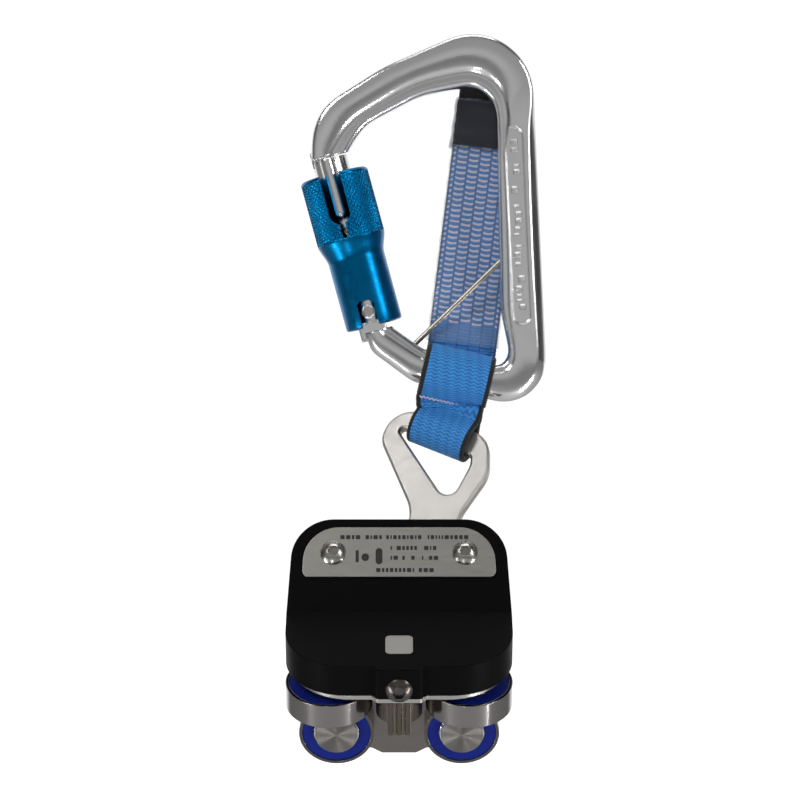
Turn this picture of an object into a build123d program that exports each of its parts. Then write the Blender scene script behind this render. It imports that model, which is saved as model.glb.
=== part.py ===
from build123d import *
import os
from math import atan2, cos, degrees, pi, radians, sin, sqrt, tan

# Rail fall arrest trolley: an offset-D carabiner, a short tear webbing, and a four roller rail runner
# with a brake lever. Millimetres. X runs along the rail, Z is up, and Y points away from the user.
# The origin is the top of the carabiner's inside, on its middle plane, where it hangs.

# ---- driving dimensions -------------------------------------------------------------------------
frame_thick = 11.0            # carabiner bar, front to back
frame_edge = 3.2              # chamfer along its edges
spine_x = 12.1                # inside of the spine at the top
spine_width = 13.2
nose_x = -53.6                # outside of the carabiner on the gate side
bottom_z = -111.0             # lowest line of the carabiner

sleeve_length = 55.6
sleeve_radius = 10.2
knurl_radius = 12.3
knurl_length = 23.8
gate_lean = 15.3              # degrees from vertical
pin_along = 20.6              # guide pin, down the gate axis

strap_width = 24.8
strap_thick = 2.0
pack_thick = 6.6

trolley_tilt = 30.0           # degrees, about X
trolley_x, trolley_y, trolley_z = -22.4, -42.0, -207.5
plate_thick = 1.6
plate_half = 37.5             # half width of the chassis plate
plate_reach = 14.3            # from the roller axes to the plate's rail side edge
plate_gap = 2.4               # roller top face to the plate
cover_thick = 12.0
front_screw_z = 7.5
cover_half = 39.0
cover_fold = 17.8             # from the roller axes to the fold of the cover
label_angle = 38.0            # degrees between the ledge and the label face
label_run = 34.5              # length of the inclined part

side_roller_radius, side_roller_width, side_roller_x = 15.0, 9.0, 24.0
back_roller_radius, back_roller_width, back_roller_x = 13.0, 8.0, 21.8
ball_diameter = 4.762

lever_thick = 5.0
lever_swing = 14.0            # degrees from the middle of its travel, as it rests
pivot_radius = 3.5

slide_gap = 0.3
running_gap = 0.03


# ---- helpers ------------------------------------------------------------------------------------
def save(name, *solids):
    """Write one node, a solid or a group of separate solids."""
    flat = []
    for item in solids:
        flat.extend(item.solids())
    shape = flat[0] if len(flat) == 1 else Compound(children=flat)
    export_step(shape, os.path.join("parts", name + ".step"))


def rounded_face(corners):
    """Face from (x, y, radius) corners, each rounded by a tangent arc."""
    count = len(corners)
    edges = []
    ends = []
    for i, (x, y, radius) in enumerate(corners):
        here = Vector(x, y)
        before = Vector(*corners[i - 1][:2]) - here
        after = Vector(*corners[(i + 1) % count][:2]) - here
        if radius == 0:
            ends.append((here, here))
            continue
        before, after = before.normalized(), after.normalized()
        half = radians(before.get_angle(after)) / 2
        first = here + before * (radius / tan(half))
        last = here + after * (radius / tan(half))
        middle = here + (before + after).normalized() * (radius / sin(half) - radius)
        edges.append(ThreePointArc(first, middle, last))
        ends.append((first, last))
    for i in range(count):
        start, stop = ends[i - 1][1], ends[i][0]
        if (stop - start).length > 1e-6:
            edges.append(Line(start, stop))
    return make_face(Wire.combine([item.edge() for item in edges])[0])


def ring(outer, inner, height, z=0.0):
    return Pos(0, 0, z) * (
        Cylinder(outer, height, align=(Align.CENTER, Align.CENTER, Align.MIN))
        - Cylinder(inner, height, align=(Align.CENTER, Align.CENTER, Align.MIN))
    )


def rod(radius, height, z=0.0):
    return Pos(0, 0, z) * Cylinder(radius, height, align=(Align.CENTER, Align.CENTER, Align.MIN))


def block(x0, x1, y0, y1, z0, z1):
    return Pos((x0 + x1) / 2, (y0 + y1) / 2, (z0 + z1) / 2) * Box(x1 - x0, y1 - y0, z1 - z0)


def coil(radius, wire, pitch, turns, z=0.0):
    """Helical spring along +Z, closed at both ends by its own round wire."""
    path = Helix(pitch=pitch, height=pitch * turns, radius=radius)
    section = Plane(origin=path @ 0, z_dir=path % 0) * Circle(wire / 2)
    return Pos(0, 0, z) * sweep(section, path)


def button_screw(head_radius, head_height, shank_radius, length, socket):
    """Hex socket button head screw. The head stands on z = 0 and the shank runs down."""
    dome = (head_radius ** 2 + head_height ** 2) / (2 * head_height)
    head = rod(head_radius, head_height) & (Pos(0, 0, head_height - dome) * Sphere(dome))
    key = extrude(Pos(0, 0, head_height * 0.35) * RegularPolygon(socket / sqrt(3), 6), head_height)
    return head - key + rod(shank_radius, length, -length)


# ---- carabiner ----------------------------------------------------------------------------------
upright = Plane.XZ            # sketches of the carabiner lie in it, seen from the front
gate_top = (-45.8, -30.7)     # middle of the sleeve's upper rim
hinge_along, hinge_across = 50.5, -0.9
hinge_radius = 1.7
gate_radius = 6.5
tongue_half = 2.75
nose_along = -6.35            # end of the nose, measured down the gate axis from the sleeve rim
arm_along = 57.6              # where the full section of the lower arm begins
lug_end = -3.7
bar_half = 6.05               # half height of the lower bar
bar_slope = 13.0              # degrees, lower bar falling to the right
bottom_x = 10.4               # where the lower bar is at bottom_z


def gate_place(along=0.0, across=0.0):
    """Gate frame: +Z down the gate axis, +X to the inside of the carabiner, +Y to the user."""
    turn = Rot(0, 180 - gate_lean, 0) * Rot(0, 0, 180)
    return Pos(gate_top[0], 0, gate_top[1]) * turn * Pos(across, 0, along)


def gate_point(along, across):
    lean = radians(gate_lean)
    return (gate_top[0] + along * sin(lean) + across * cos(lean),
            gate_top[1] - along * cos(lean) + across * sin(lean))


def lower_outer(x):
    """Height of the lower bar's underside."""
    return bottom_z - tan(radians(bar_slope)) * (x - bottom_x)


def lower_inner(x):
    return lower_outer(x) + 2 * bar_half / cos(radians(bar_slope))


def carabiner_outline():
    arm_outer = gate_point(arm_along - 18, -5.0)
    arm_inner = gate_point(arm_along - 18, 5.0)
    shoulder = gate_point(arm_along - 1, 5.0)
    return [
        (nose_x - 0.2, -40.0, 0),
        (nose_x + 0.1, -8.6, 20.0),
        (-28.0, 7.6, 60.0),
        (spine_x + spine_width - 1.1, 30.3, 22.0),
        (spine_x + spine_width + 5.5, lower_outer(30.8), 15.0),
        (-17.5, lower_outer(-17.5), 8.0),
        (-32.6, -93.4, 4.0),
        (*arm_outer, 0),
        (*arm_inner, 0),
        (*shoulder, 2.0),
        (-13.6, lower_inner(-13.6), 9.0),
        (18.0, lower_inner(18.0), 5.0),
        (spine_x + 1.6, -78.0, 30.0),
        (spine_x, 2.7, 10.8),
        (-15.0, -2.7, 30.0),
        (-35.2, -13.4, 18.0),
        (-42.8, -26.6, 0),
        (-42.8, -40.0, 0),
    ]


def forged(face, thick, edge):
    """Extrude both ways and chamfer the rims, as a closed die forging is shaped."""
    body = extrude(face, thick / 2, both=True)
    rims = body.edges().filter_by_position(Axis.Y, -thick / 2 - 0.01, -thick / 2 + 0.01)
    rims += body.edges().filter_by_position(Axis.Y, thick / 2 - 0.01, thick / 2 + 0.01)
    return chamfer(rims, edge)


def captive_wire():
    start, stop = Vector(-17.9, 0, -92.1), Vector(15.2, 0, -60.0)
    return Plane(origin=start, z_dir=stop - start) * rod(0.9, (stop - start).length)


def carabiner_frame():
    body = forged(upright * rounded_face(carabiner_outline()), frame_thick, frame_edge)
    gate_room = block(-14, 13, -20, 20, nose_along, arm_along)
    body -= gate_place() * gate_room
    hinge = Pos(hinge_across, 0, hinge_along)
    swing = hinge * Rot(90, 0, 0) * Cylinder(5.0, 2 * tongue_half)
    tongue = block(-5.0, 5.0, -tongue_half, tongue_half, hinge_along, arm_along + 3)
    tongue = (swing + tongue) - hinge * Rot(90, 0, 0) * Cylinder(hinge_radius, 20)
    lug = block(-6.3, 1.5, -2.25, 2.25, nose_along - 3, lug_end)
    body += gate_place() * (tongue + lug)
    panel_x = spine_x + spine_width / 2 + 1.0
    panel = upright * Pos(panel_x, -49.0) * Rot(0, 0, 2.6) * SlotOverall(70.0, 6.4, rotation=90)
    body -= Pos(0, -frame_thick / 2 + 0.5, 0) * extrude(panel, 3.0)
    return body - captive_wire()


def gate_body():
    bottom = hinge_along + 4.0
    neck_start, neck_end = 19.9, 41.0
    body = rod(gate_radius, bottom + 5.75, -5.75)
    body -= ring(gate_radius + 1, 5.2, neck_end - neck_start, neck_start)
    rib = Pos(-1.0, gate_radius - 0.3, 0) * (rod(2.65, 19.7, -5.75) + Pos(0, 0, 13.95) * Sphere(2.65))
    body += rib & block(-9, 9, 0, 20, -5.75, 16.6)
    body -= block(-9, 2.2, -2.5, 2.5, -6.0, -3.1)
    fork = tongue_half + slide_gap
    body -= block(-9, 9, -fork, fork, hinge_along - 6.0, bottom + 1)
    body -= Pos(hinge_across, 0, hinge_along) * Rot(90, 0, 0) * Cylinder(hinge_radius + running_gap, 20)
    body -= rod(2.6, 26.0, hinge_along - 6.0 - 25.5)
    body -= Pos(0, 0, pin_along) * Rot(-90, 0, 0) * rod(1.0, 9.0)
    return body


def locking_sleeve():
    profile = make_face(Polyline(
        (9.5, 0.6), (9.9, 0.0), (knurl_radius - 0.9, 0.0), (knurl_radius, 1.2),
        (knurl_radius, knurl_length), (sleeve_radius + 0.5, knurl_length + 3.6),
        (sleeve_radius, knurl_length + 6.5), (sleeve_radius, sleeve_length - 0.8),
        (sleeve_radius - 0.8, sleeve_length), (8.4, sleeve_length), (8.4, 42.5),
        (gate_radius + 0.35, 41.5), (gate_radius + 0.35, 24.3), (8.8, 24.3), (8.8, 19.3),
        (9.5, 19.3), (9.5, 0.6)))
    body = revolve(Plane.XZ * profile, Axis.Z)
    window = block(-3.8, 3.8, 0, 20, -1, 14.5) + Pos(0, 0, 14.5) * Rot(-90, 0, 0) * rod(3.8, 20)
    slot = block(-1.15, 1.15, 0, 20, 14, 23.4)
    lower = block(-3.1, 3.1, 0, 20, 46.4, sleeve_length + 1)
    return body - Rot(0, 0, 8) * (window + slot + lower)


def make_carabiner():
    save("carabiner_frame", carabiner_frame())
    hinge = Pos(hinge_across, 0, hinge_along) * Rot(90, 0, 0)
    rivet = Cylinder(hinge_radius, 12.2)
    save("gate_hinge_rivet", gate_place() * hinge * rivet)
    save("captive_bar", captive_wire())
    save("gate_body", gate_place() * gate_body())
    pin = Pos(0, 0, pin_along) * Rot(-90, 0, 0) * rod(1.0, 8.4)
    save("sleeve_guide_pin", gate_place() * (pin - rod(2.6, 40)))
    spring_start = hinge_along - 6.0 - 25.0
    save("gate_spring", gate_place() * coil(1.7, 0.7, 2.4, 6, spring_start + 0.5))
    save("gate_plunger", gate_place() * (rod(2.5, 6.4, hinge_along - 12.2) - rod(1.5, 2.0, hinge_along - 12.2)))
    save("locking_sleeve", gate_place() * locking_sleeve())
    save("sleeve_spring", gate_place() * coil(6.0, 0.8, 2.2, 6, 26.0))


# ---- webbing ------------------------------------------------------------------------------------
bar_x = -1.8                  # where the strap crosses the lower bar
loop_radius = 7.1             # inside of the strap's loop over the lower bar
eye_loop_radius = 5.0         # inside of its loop through the lever's eye
eye_width = 22.4              # webbing gathered in the eye
pack_lean = 7.2               # degrees, pack leaning to the right
pack_skin = 0.5               # clear sleeve
pack_base_y = 5.3             # pack behind the captive bar at its foot
pack_step = 5.6               # and further back where it passes the spine
pack_bend = 24.0
pack_length = 96.0
sleeve_end = 70.8             # top of the clear sleeve, along the pack
band_end = 88.4


def bar_middle():
    return (lower_outer(bar_x) + lower_inner(bar_x)) / 2


def strap_frame():
    """On the lower bar's axis: +X along the bar, +Z up the webbing."""
    return Plane(origin=(bar_x, 0, bar_middle()),
                 x_dir=(cos(radians(bar_slope)), 0, -sin(radians(bar_slope))),
                 z_dir=(sin(radians(bar_slope)), 0, cos(radians(bar_slope))))


def eye_frame():
    """On the axis of the eye's bar: +X along that bar, +Z towards the carabiner."""
    place = trolley_place() * lever_place() * Pos(0, fold_y(blade_mid), blade_mid) * Rot(label_angle, 0, 0)
    points = [(place * Pos(x, y, 0)).position for x, y in ((-3.6, 73.7), (6.4, 71.1))]
    along = (points[1] - points[0]).normalized()
    up = strap_frame().origin - points[0]
    up = (up - along * up.dot(along)).normalized()
    return Plane(origin=points[0], x_dir=along, z_dir=up)


def sideways(shape):
    """Turn a shape on +Z so that it lies along +X."""
    return Rot(0, 90, 0) * shape


def pack_frame():
    return Pos(0.2, 0, bar_middle() + 10.6) * Rot(0, pack_lean, 0)


def pack_slab(grow, low, high, side):
    """Stretch of the webbing pack, with its step back, grown by a skin."""
    def front(z):
        return pack_base_y + pack_step * min(1.0, z / pack_bend) - pack_thick / 2 - grow

    levels = [low, pack_bend, high] if low < pack_bend else [low, high]
    deep = pack_thick + 2 * grow
    points = [(front(z), z) for z in levels] + [(front(z) + deep, z) for z in reversed(levels)]
    face = make_face(Polyline(*points, points[0]))
    return extrude(Plane.YZ * face, side, both=True)


def make_webbing():
    half = strap_width / 2
    upper, lower = strap_frame(), eye_frame()
    over = Pos(-half, 0, 0) * sideways(rod(loop_radius + strap_thick, strap_width))
    under = Pos(-eye_width / 2, 0, 0) * sideways(rod(eye_loop_radius + strap_thick, eye_width))
    deep = 2 * strap_thick - 0.3
    waist = loft([upper * Pos(0, 0, 0.6 - loop_radius - strap_thick) * Rectangle(strap_width - 0.5, deep),
                  lower * Pos(0, 0, eye_loop_radius + strap_thick - 0.6) * Rectangle(eye_width - 0.5, deep)])
    foot = pack_frame() * block(-half, half, pack_base_y - pack_thick / 2, pack_base_y + pack_thick / 2, -5, 0)
    strap = upper * over + lower * under + waist + foot
    strap -= upper * Pos(-half - 5, 0, 0) * sideways(rod(loop_radius, strap_width + 10))
    strap -= lower * Pos(-half - 5, 0, 0) * sideways(rod(eye_loop_radius, strap_width + 10))
    save("connector_strap", strap)
    stitch = Box(1.7, 0.5, 0.8)
    seam = upper * Pos(0, -strap_thick - 0.1, -loop_radius - strap_thick - 0.9)
    save("strap_stitching", *[seam * Pos(x * 2.4, 0, 0) * stitch - strap for x in range(-4, 5)])

    place = pack_frame()
    core = pack_slab(0, 0, pack_length, half)
    save("tear_webbing_pack", place * core)
    save("clear_sleeve", place * (pack_slab(pack_skin, 0.4, sleeve_end, half + pack_skin) - core))
    save("end_band", place * (pack_slab(pack_skin + 0.3, sleeve_end, band_end, half + pack_skin + 0.3) - core))


# ---- trolley ------------------------------------------------------------------------------------
plate_low = plate_gap
plate_top = plate_gap + plate_thick
cover_top = plate_top + cover_thick
blade_low = plate_top + 1.2
blade_top = blade_low + lever_thick
blade_mid = (blade_low + blade_top) / 2
half_fold = tan(radians(label_angle / 2))


def trolley_place():
    """Trolley frame: +X along the rail, -Y towards the rail, +Z out of the ledge."""
    return Pos(trolley_x, trolley_y, trolley_z) * Rot(trolley_tilt, 0, 0)


def fold_y(height):
    """Fold line of the layer at a height, so that all layers keep their thickness."""
    return cover_fold + (cover_top - height) * half_fold


def incline(height):
    """Frame of the inclined part: origin on the fold, +Y up the slope, +Z out of the label."""
    return Pos(0, fold_y(height), height) * Rot(label_angle, 0, 0)


def behind_fold(solid, flat):
    """Keep the part of a solid in front of the fold's mitre plane, or beyond it."""
    mitre = Pos(0, cover_fold, cover_top) * Rot(label_angle / 2, 0, 0)
    y0, y1 = (-120, 0) if flat else (0, 120)
    return solid & (mitre * block(-80, 80, y0, y1, -80, 80))


def flat_outline(half, reach, corner, fold_end):
    return rounded_face([(-half, -reach, corner), (half, -reach, corner),
                         (half, fold_end, 0), (-half, fold_end, 0)])


def slope_outline(half, run, corner, taper):
    return rounded_face([(-half, -20, 0), (half, -20, 0), (half, 0, 0), (half - taper, run, corner),
                         (-half + taper, run, corner), (-half, 0, 0)])


def elbow(half, reach, corner, low, high, run, top_corner, taper):
    """Bent layer between two heights, with rounded outlines on both leaves."""
    flat = extrude(Pos(0, 0, low) * flat_outline(half, reach, corner, 60), high - low)
    slope = incline(high) * extrude(slope_outline(half, run, top_corner, taper), low - high)
    return behind_fold(flat, True) + behind_fold(slope, False)


def screw_spots():
    return [incline(cover_top) * Pos(x, label_run - 12.6, 0) for x in (-23.0, 23.0)]


def chassis_plate():
    body = elbow(plate_half, plate_reach, 21.0, plate_low, plate_top, label_run - 2.0, 15.0, 1.5)
    tab = rounded_face([(-9.5, -plate_reach + 2, 0), (-9.5, -plate_reach, 0),
                        (-7.4, -plate_reach - 2.0, 1.0), (7.4, -plate_reach - 2.0, 1.0),
                        (9.5, -plate_reach, 0), (9.5, -plate_reach + 2, 0)])
    body += extrude(Pos(0, 0, plate_low) * tab, plate_thick)
    body += block(-5, 5, -12.0, -9.5, plate_low, plate_top + 9.0)
    body -= Pos(0, 0, -5) * rod(8.3, 20)
    for x in (-side_roller_x, side_roller_x):
        body -= Pos(x, 0, 0) * rod(4.0, 10)
    for spot in screw_spots():
        body -= spot * rod(2.1, 30, -30)
    return body - Pos(0, 0, front_screw_z) * Rot(90, 0, 0) * rod(2.1, 30)


def guide_plate():
    """Plate that carries the back rollers, welded under the chassis plate."""
    front, thick = 11.0, 3.0
    neck, wide = 11.5, 27.0
    roller_z = -23.5
    outline = rounded_face([
        (-neck, plate_low, 0), (-neck, -11.2, 3.0), (-wide, -14.5, 8.0), (-wide, -34.0, 9.0),
        (-9.5, -36.4, 2.0), (-6.0, -38.5, 1.5), (6.0, -38.5, 1.5), (9.5, -36.4, 2.0),
        (wide, -34.0, 9.0), (wide, -14.5, 8.0), (neck, -11.2, 3.0), (neck, plate_low, 0)])
    body = Pos(0, front + thick, 0) * extrude(Plane.XZ * outline, thick)
    for x in (-back_roller_x, back_roller_x):
        body -= Pos(x, 0, roller_z) * Rot(-90, 0, 0) * rod(3.0, 30)
    return body


def lever_sweep():
    """Room that the lever needs under the cover, over its whole swing."""
    deep = cover_top - 2.0
    flat = rounded_face([(-10.5, -5.0, 6.0), (10.5, -5.0, 6.0), (19.0, 60, 0), (-19.0, 60, 0)])
    flat = extrude(Pos(0, 0, plate_top) * flat, deep - plate_top) + rod(9.6, deep - plate_top, plate_top)
    wedge = rounded_face([(-15.5, -20, 0), (15.5, -20, 0), (18.3, 24.0, 0), (25.5, 45.0, 0),
                          (-25.5, 45.0, 0), (-18.3, 24.0, 0)])
    slope = incline(deep) * extrude(wedge, plate_top - deep)
    return behind_fold(flat, True) + behind_fold(slope, False)


def front_cover():
    body = elbow(cover_half, plate_reach, 21.0, plate_top, cover_top, label_run, 15.0, 2.2)
    boss = rounded_face([(-8.1, -plate_reach + 3, 0), (-8.1, -plate_reach - 2.1, 1.2),
                         (8.1, -plate_reach - 2.1, 1.2), (8.1, -plate_reach + 3, 0)])
    body += extrude(Pos(0, 0, plate_top) * boss, cover_thick)
    body -= lever_sweep()
    body -= block(-5.2, 5.2, -12.2, -9.3, plate_top, plate_top + 9.3)
    body -= Pos(0, 0, cover_top - 5) * extrude(RectangleRounded(9.4, 10.8, 1.8).moved(Pos(0, -1.4, 0)), 10)
    for spot in screw_spots():
        body -= spot * rod(2.5, 30, -29)
    body -= Pos(0, 0, front_screw_z) * Rot(90, 0, 0) * rod(2.5, 30)
    return body


def label_plate():
    half, low, high = 33.8, label_run - 21.4, label_run - 3.3
    outline = rounded_face([(-half, low, 2.2), (half, low, 2.2), (half - 1.0, high, 12.5),
                            (-half + 1.0, high, 12.5)])
    plate = extrude(outline, 0.8)
    plate = incline(cover_top) * plate
    for spot in screw_spots():
        plate -= spot * rod(2.5, 10, -1)
    return plate


def break_edges(plate, thick, size):
    """Chamfer both rims of a plate that lies about z = 0."""
    edges = plate.edges()
    rims = edges.filter_by_position(Axis.Z, thick / 2 - 0.01, thick / 2 + 0.01)
    rims += edges.filter_by_position(Axis.Z, -thick / 2 - 0.01, -thick / 2 + 0.01)
    return chamfer(rims, size)


def lever_place():
    return Rot(0, 0, -lever_swing)


def brake_lever():
    crease = fold_y(blade_mid)
    blade = extrude(Pos(0, 0, blade_low) * Rectangle(14.0, 80, align=(Align.CENTER, Align.MIN)), lever_thick)
    mitre = Pos(0, crease, blade_mid) * Rot(label_angle / 2, 0, 0)
    blade = blade & (mitre * block(-80, 80, -120, 0, -80, 80))
    outline = rounded_face([
        (-7.0, -8, 0), (7.0, -8, 0), (7.0, 30.0, 6.0), (9.0, 37.0, 6.0), (8.6, 43.3, 14.0),
        (16.0, 59.8, 12.0), (13.6, 73.8, 9.0), (-21.6, 82.1, 10.5), (-25.2, 67.8, 8.0),
        (-9.2, 43.3, 14.0), (-9.0, 37.0, 6.0), (-7.0, 30.0, 6.0)])
    hole = rounded_face([(-18.2, 73.6, 1.5), (-18.6, 71.3, 1.2), (3.9, 46.4, 4.0), (8.6, 61.7, 6.0),
                         (8.7, 66.2, 3.0)])
    leaf = extrude(outline - hole, lever_thick / 2, both=True)
    leaf = break_edges(leaf, lever_thick, 0.8)
    leaf = Pos(0, crease, blade_mid) * Rot(label_angle, 0, 0) * leaf
    leaf = leaf & (mitre * block(-80, 80, 0, 120, -80, 80))
    hub = rod(8.0, blade_top - 0.9, 0.9)
    key = block(-5.5, 5.5, -5.5, 5.5, -2.1, 0.9)
    body = blade + leaf + hub + key
    return body - rod(4.4, 40, -10)


def brake_cam():
    """Toothed cam below the plate, keyed to the lever hub. Its nose points at the rail."""
    low, high = -12.4, 0.9
    body = rod(8.0, high - low, low) + block(-4.0, 4.0, -14.4, 0, low, high)
    for x in (-4.2, -1.4, 1.4, 4.2):
        body -= Pos(x, -14.6, low - 1) * rod(0.8, 30)
    body -= lever_place() * block(-5.5, 5.5, -5.5, 5.5, -2.1, high)
    return body - rod(4.4, 40, -20)


def make_lever():
    place = trolley_place()
    save("brake_lever", place * lever_place() * brake_lever())
    save("brake_cam", place * brake_cam())
    bush = ring(4.4, pivot_radius + running_gap, blade_top + 12.4, -12.4)
    save("pivot_bush", place * bush)


def make_chassis():
    place = trolley_place()
    save("chassis_plate", place * chassis_plate())
    save("guide_plate", place * guide_plate())
    save("front_cover", place * front_cover())
    save("label_plate", place * label_plate())
    screw = button_screw(4.5, 2.3, 2.1, 13.5, 3.6)
    screws = [place * spot * Pos(0, 0, 0.8) * screw for spot in screw_spots()]
    save("label_screws", *screws)
    nose_screw = button_screw(4.75, 2.3, 2.1, 7.0, 3.8)
    nose_screw = Pos(0, -plate_reach - 2.1, front_screw_z) * Rot(90, 0, 0) * nose_screw
    save("cover_front_screw", place * nose_screw)
    head = extrude(Pos(0, -1.4, cover_top - 2.0) * RectangleRounded(9.4, 10.8, 1.8), 2.15)
    pin = rod(pivot_radius, cover_top - 2.0 + 14.6, -14.6) + head
    pin -= ring(5.0, 2.7, 0.8, -13.6)
    save("pivot_pin", place * pin)
    save("pivot_clip", place * (ring(5.6, 2.7, 0.8, -13.6) - block(-1.6, 1.6, 0, 9, -15, -12)))
    save("lever_return_spring", place * coil(6.4, 0.9, 1.2, 2, blade_top + 0.75))


# ---- rollers ------------------------------------------------------------------------------------
def bearing(outer, bore, width, balls):
    """Sealed deep groove bearing on +Z from z = 0: outer ring, inner ring, balls, cage and seals."""
    pitch = (outer + bore) / 2
    race = ball_diameter / 2 + 0.02
    torus = Pos(0, 0, width / 2) * Torus(pitch, race)
    land = ball_diameter * 0.26
    outer_ring = ring(outer, pitch + land, width) - torus
    recess, rim = 1.1, outer - 1.1
    outer_ring -= ring(rim, pitch, recess) + ring(rim, pitch, recess, width - recess)
    inner_ring = ring(pitch - land, bore, width) - torus
    spots = list(PolarLocations(pitch, balls))
    ball_set = [Pos(0, 0, width / 2) * spot * Sphere(ball_diameter / 2) for spot in spots]
    cage_height = ball_diameter + 0.9
    cage = ring(pitch + 0.45, pitch - 0.45, cage_height, (width - cage_height) / 2)
    pocket = Rot(0, 90, 0) * Cylinder(ball_diameter / 2 + 0.05, 6)
    for spot in spots:
        cage -= Pos(0, 0, width / 2) * spot * pocket
    seal = ring(rim, pitch - land + 0.25, 0.7)
    seals = [Pos(0, 0, 0.3) * seal, Pos(0, 0, width - 1.0) * seal]
    return outer_ring, inner_ring, ball_set, cage, seals


def make_rollers():
    place = trolley_place()
    side = bearing(side_roller_radius, 5.0, side_roller_width, 8)
    back = bearing(back_roller_radius, 5.0, back_roller_width, 7)
    spots = {
        "side_roller_left": (place * Pos(-side_roller_x, 0, -side_roller_width), side),
        "side_roller_right": (place * Pos(side_roller_x, 0, -side_roller_width), side),
        "back_roller_left": (place * Pos(-back_roller_x, 2.0, -23.5) * Rot(-90, 0, 0), back),
        "back_roller_right": (place * Pos(back_roller_x, 2.0, -23.5) * Rot(-90, 0, 0), back),
    }
    inner = {"side": [], "back": []}
    for name, (spot, pieces) in spots.items():
        outer_ring, inner_ring, ball_set, cage, seals = pieces
        save(name + "_ring", spot * outer_ring)
        save(name + "_balls", *[spot * ball for ball in ball_set])
        save(name + "_cage", spot * cage)
        save(name + "_seals", *[spot * seal for seal in seals])
        inner[name[:4]].append(spot * inner_ring)
    save("side_inner_rings", *inner["side"])
    save("back_inner_rings", *inner["back"])
    side_axle = (rod(5.0, side_roller_width) + rod(6.2, 1.1, -1.1) + rod(6.4, plate_gap, side_roller_width)
                 + rod(4.0, plate_thick, side_roller_width + plate_gap))
    save("side_roller_axles", *[spots[k][0] * side_axle for k in ("side_roller_left", "side_roller_right")])
    back_axle = (rod(5.0, back_roller_width) + rod(7.4, 1.3, -1.3) + rod(6.4, 1.0, back_roller_width)
                 + rod(3.0, 3.0 + 0.6, back_roller_width + 1.0))
    save("back_roller_axles", *[spots[k][0] * back_axle for k in ("back_roller_left", "back_roller_right")])


os.makedirs("parts", exist_ok=True)
make_carabiner()
make_webbing()
make_chassis()
make_lever()
make_rollers()
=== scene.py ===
import math
import random

import bmesh
import bpy
from mathutils import Matrix, Vector


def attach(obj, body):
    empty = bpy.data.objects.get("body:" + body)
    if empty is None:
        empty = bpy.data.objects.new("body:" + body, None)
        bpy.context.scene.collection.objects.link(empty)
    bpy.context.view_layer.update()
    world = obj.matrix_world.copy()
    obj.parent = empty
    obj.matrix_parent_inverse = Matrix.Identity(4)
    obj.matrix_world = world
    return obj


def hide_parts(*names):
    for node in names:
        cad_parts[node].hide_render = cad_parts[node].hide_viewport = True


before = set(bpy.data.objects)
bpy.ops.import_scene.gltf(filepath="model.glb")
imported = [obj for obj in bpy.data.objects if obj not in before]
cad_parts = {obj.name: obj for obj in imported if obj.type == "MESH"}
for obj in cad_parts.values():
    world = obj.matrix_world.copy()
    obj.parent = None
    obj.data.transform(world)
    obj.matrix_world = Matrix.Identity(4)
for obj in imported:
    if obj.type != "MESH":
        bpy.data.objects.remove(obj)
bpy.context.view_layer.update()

# Looks of a rail fall arrest trolley: offset-D carabiner, short tear webbing, four roller rail runner.
# Lengths inside the helpers are millimetres, because the webbing and the trolley are laid out in them.

MM = 0.001


def turn(degrees, axis):
    return Matrix.Rotation(math.radians(degrees), 4, axis)


def shift(x, y, z):
    return Matrix.Translation((x, y, z))


def axes(origin, x_axis, z_axis):
    """Frame with its origin and two axes, as a matrix."""
    x_axis, z_axis = Vector(x_axis).normalized(), Vector(z_axis).normalized()
    y_axis = z_axis.cross(x_axis)
    place = Matrix((x_axis, y_axis, z_axis)).transposed().to_4x4()
    place.translation = Vector(origin)
    return place


# ---- frames of the model, in millimetres ----------------------------------------------------------
GATE = shift(-45.8, 0, -30.7) @ turn(180 - 15.3, "Y") @ turn(180, "Z")
TROLLEY_X = -22.4
TROLLEY = shift(TROLLEY_X, -42.0, -207.5) @ turn(30.0, "X")
LABEL = TROLLEY @ shift(0, 17.8, 16.0) @ turn(38.0, "X")
LOOP = axes((-1.8, 0, -101.974), (0.97437, 0, -0.224951), (0.224951, 0, 0.97437))
EYE_POINT = Vector((-6.846, -1.622, -122.903))
EYE_AXIS = Vector((0.891103, -0.291932, -0.347435)).normalized()
EYE_UP = LOOP.translation - EYE_POINT
EYE_UP = (EYE_UP - EYE_AXIS * EYE_UP.dot(EYE_AXIS)).normalized()
EYE = axes(EYE_POINT, EYE_AXIS, EYE_UP)
PACK = shift(0.2, 0, -91.374) @ turn(7.2, "Y")
SPIN_AXIS = (0, -0.5, 0.866025)     # the side rollers turn about this
BACK_AXIS = (0, 0.866025, 0.5)      # and the back rollers about this
DISC_X = 21.8                       # each back roller's disc, either side of TROLLEY_X

# weave of the strap and of the tear pack
RIB, ROW, ZIGZAG = 1.3, 1.15, 0.55
COLUMN, DASH, ARCH = 4.15, 1.95, 0.8
CLEAR_TOP = 71.5                    # top of the clear sleeve, along the pack
BAND_LOW, BAND_TOP = 70.2, 88.4
PACK_LOW, PACK_TOP, PACK_HALF = -4.5, 96.0, 12.2
UV_SCALE = 100                      # millimetres to one unit of the cloth map


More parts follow.
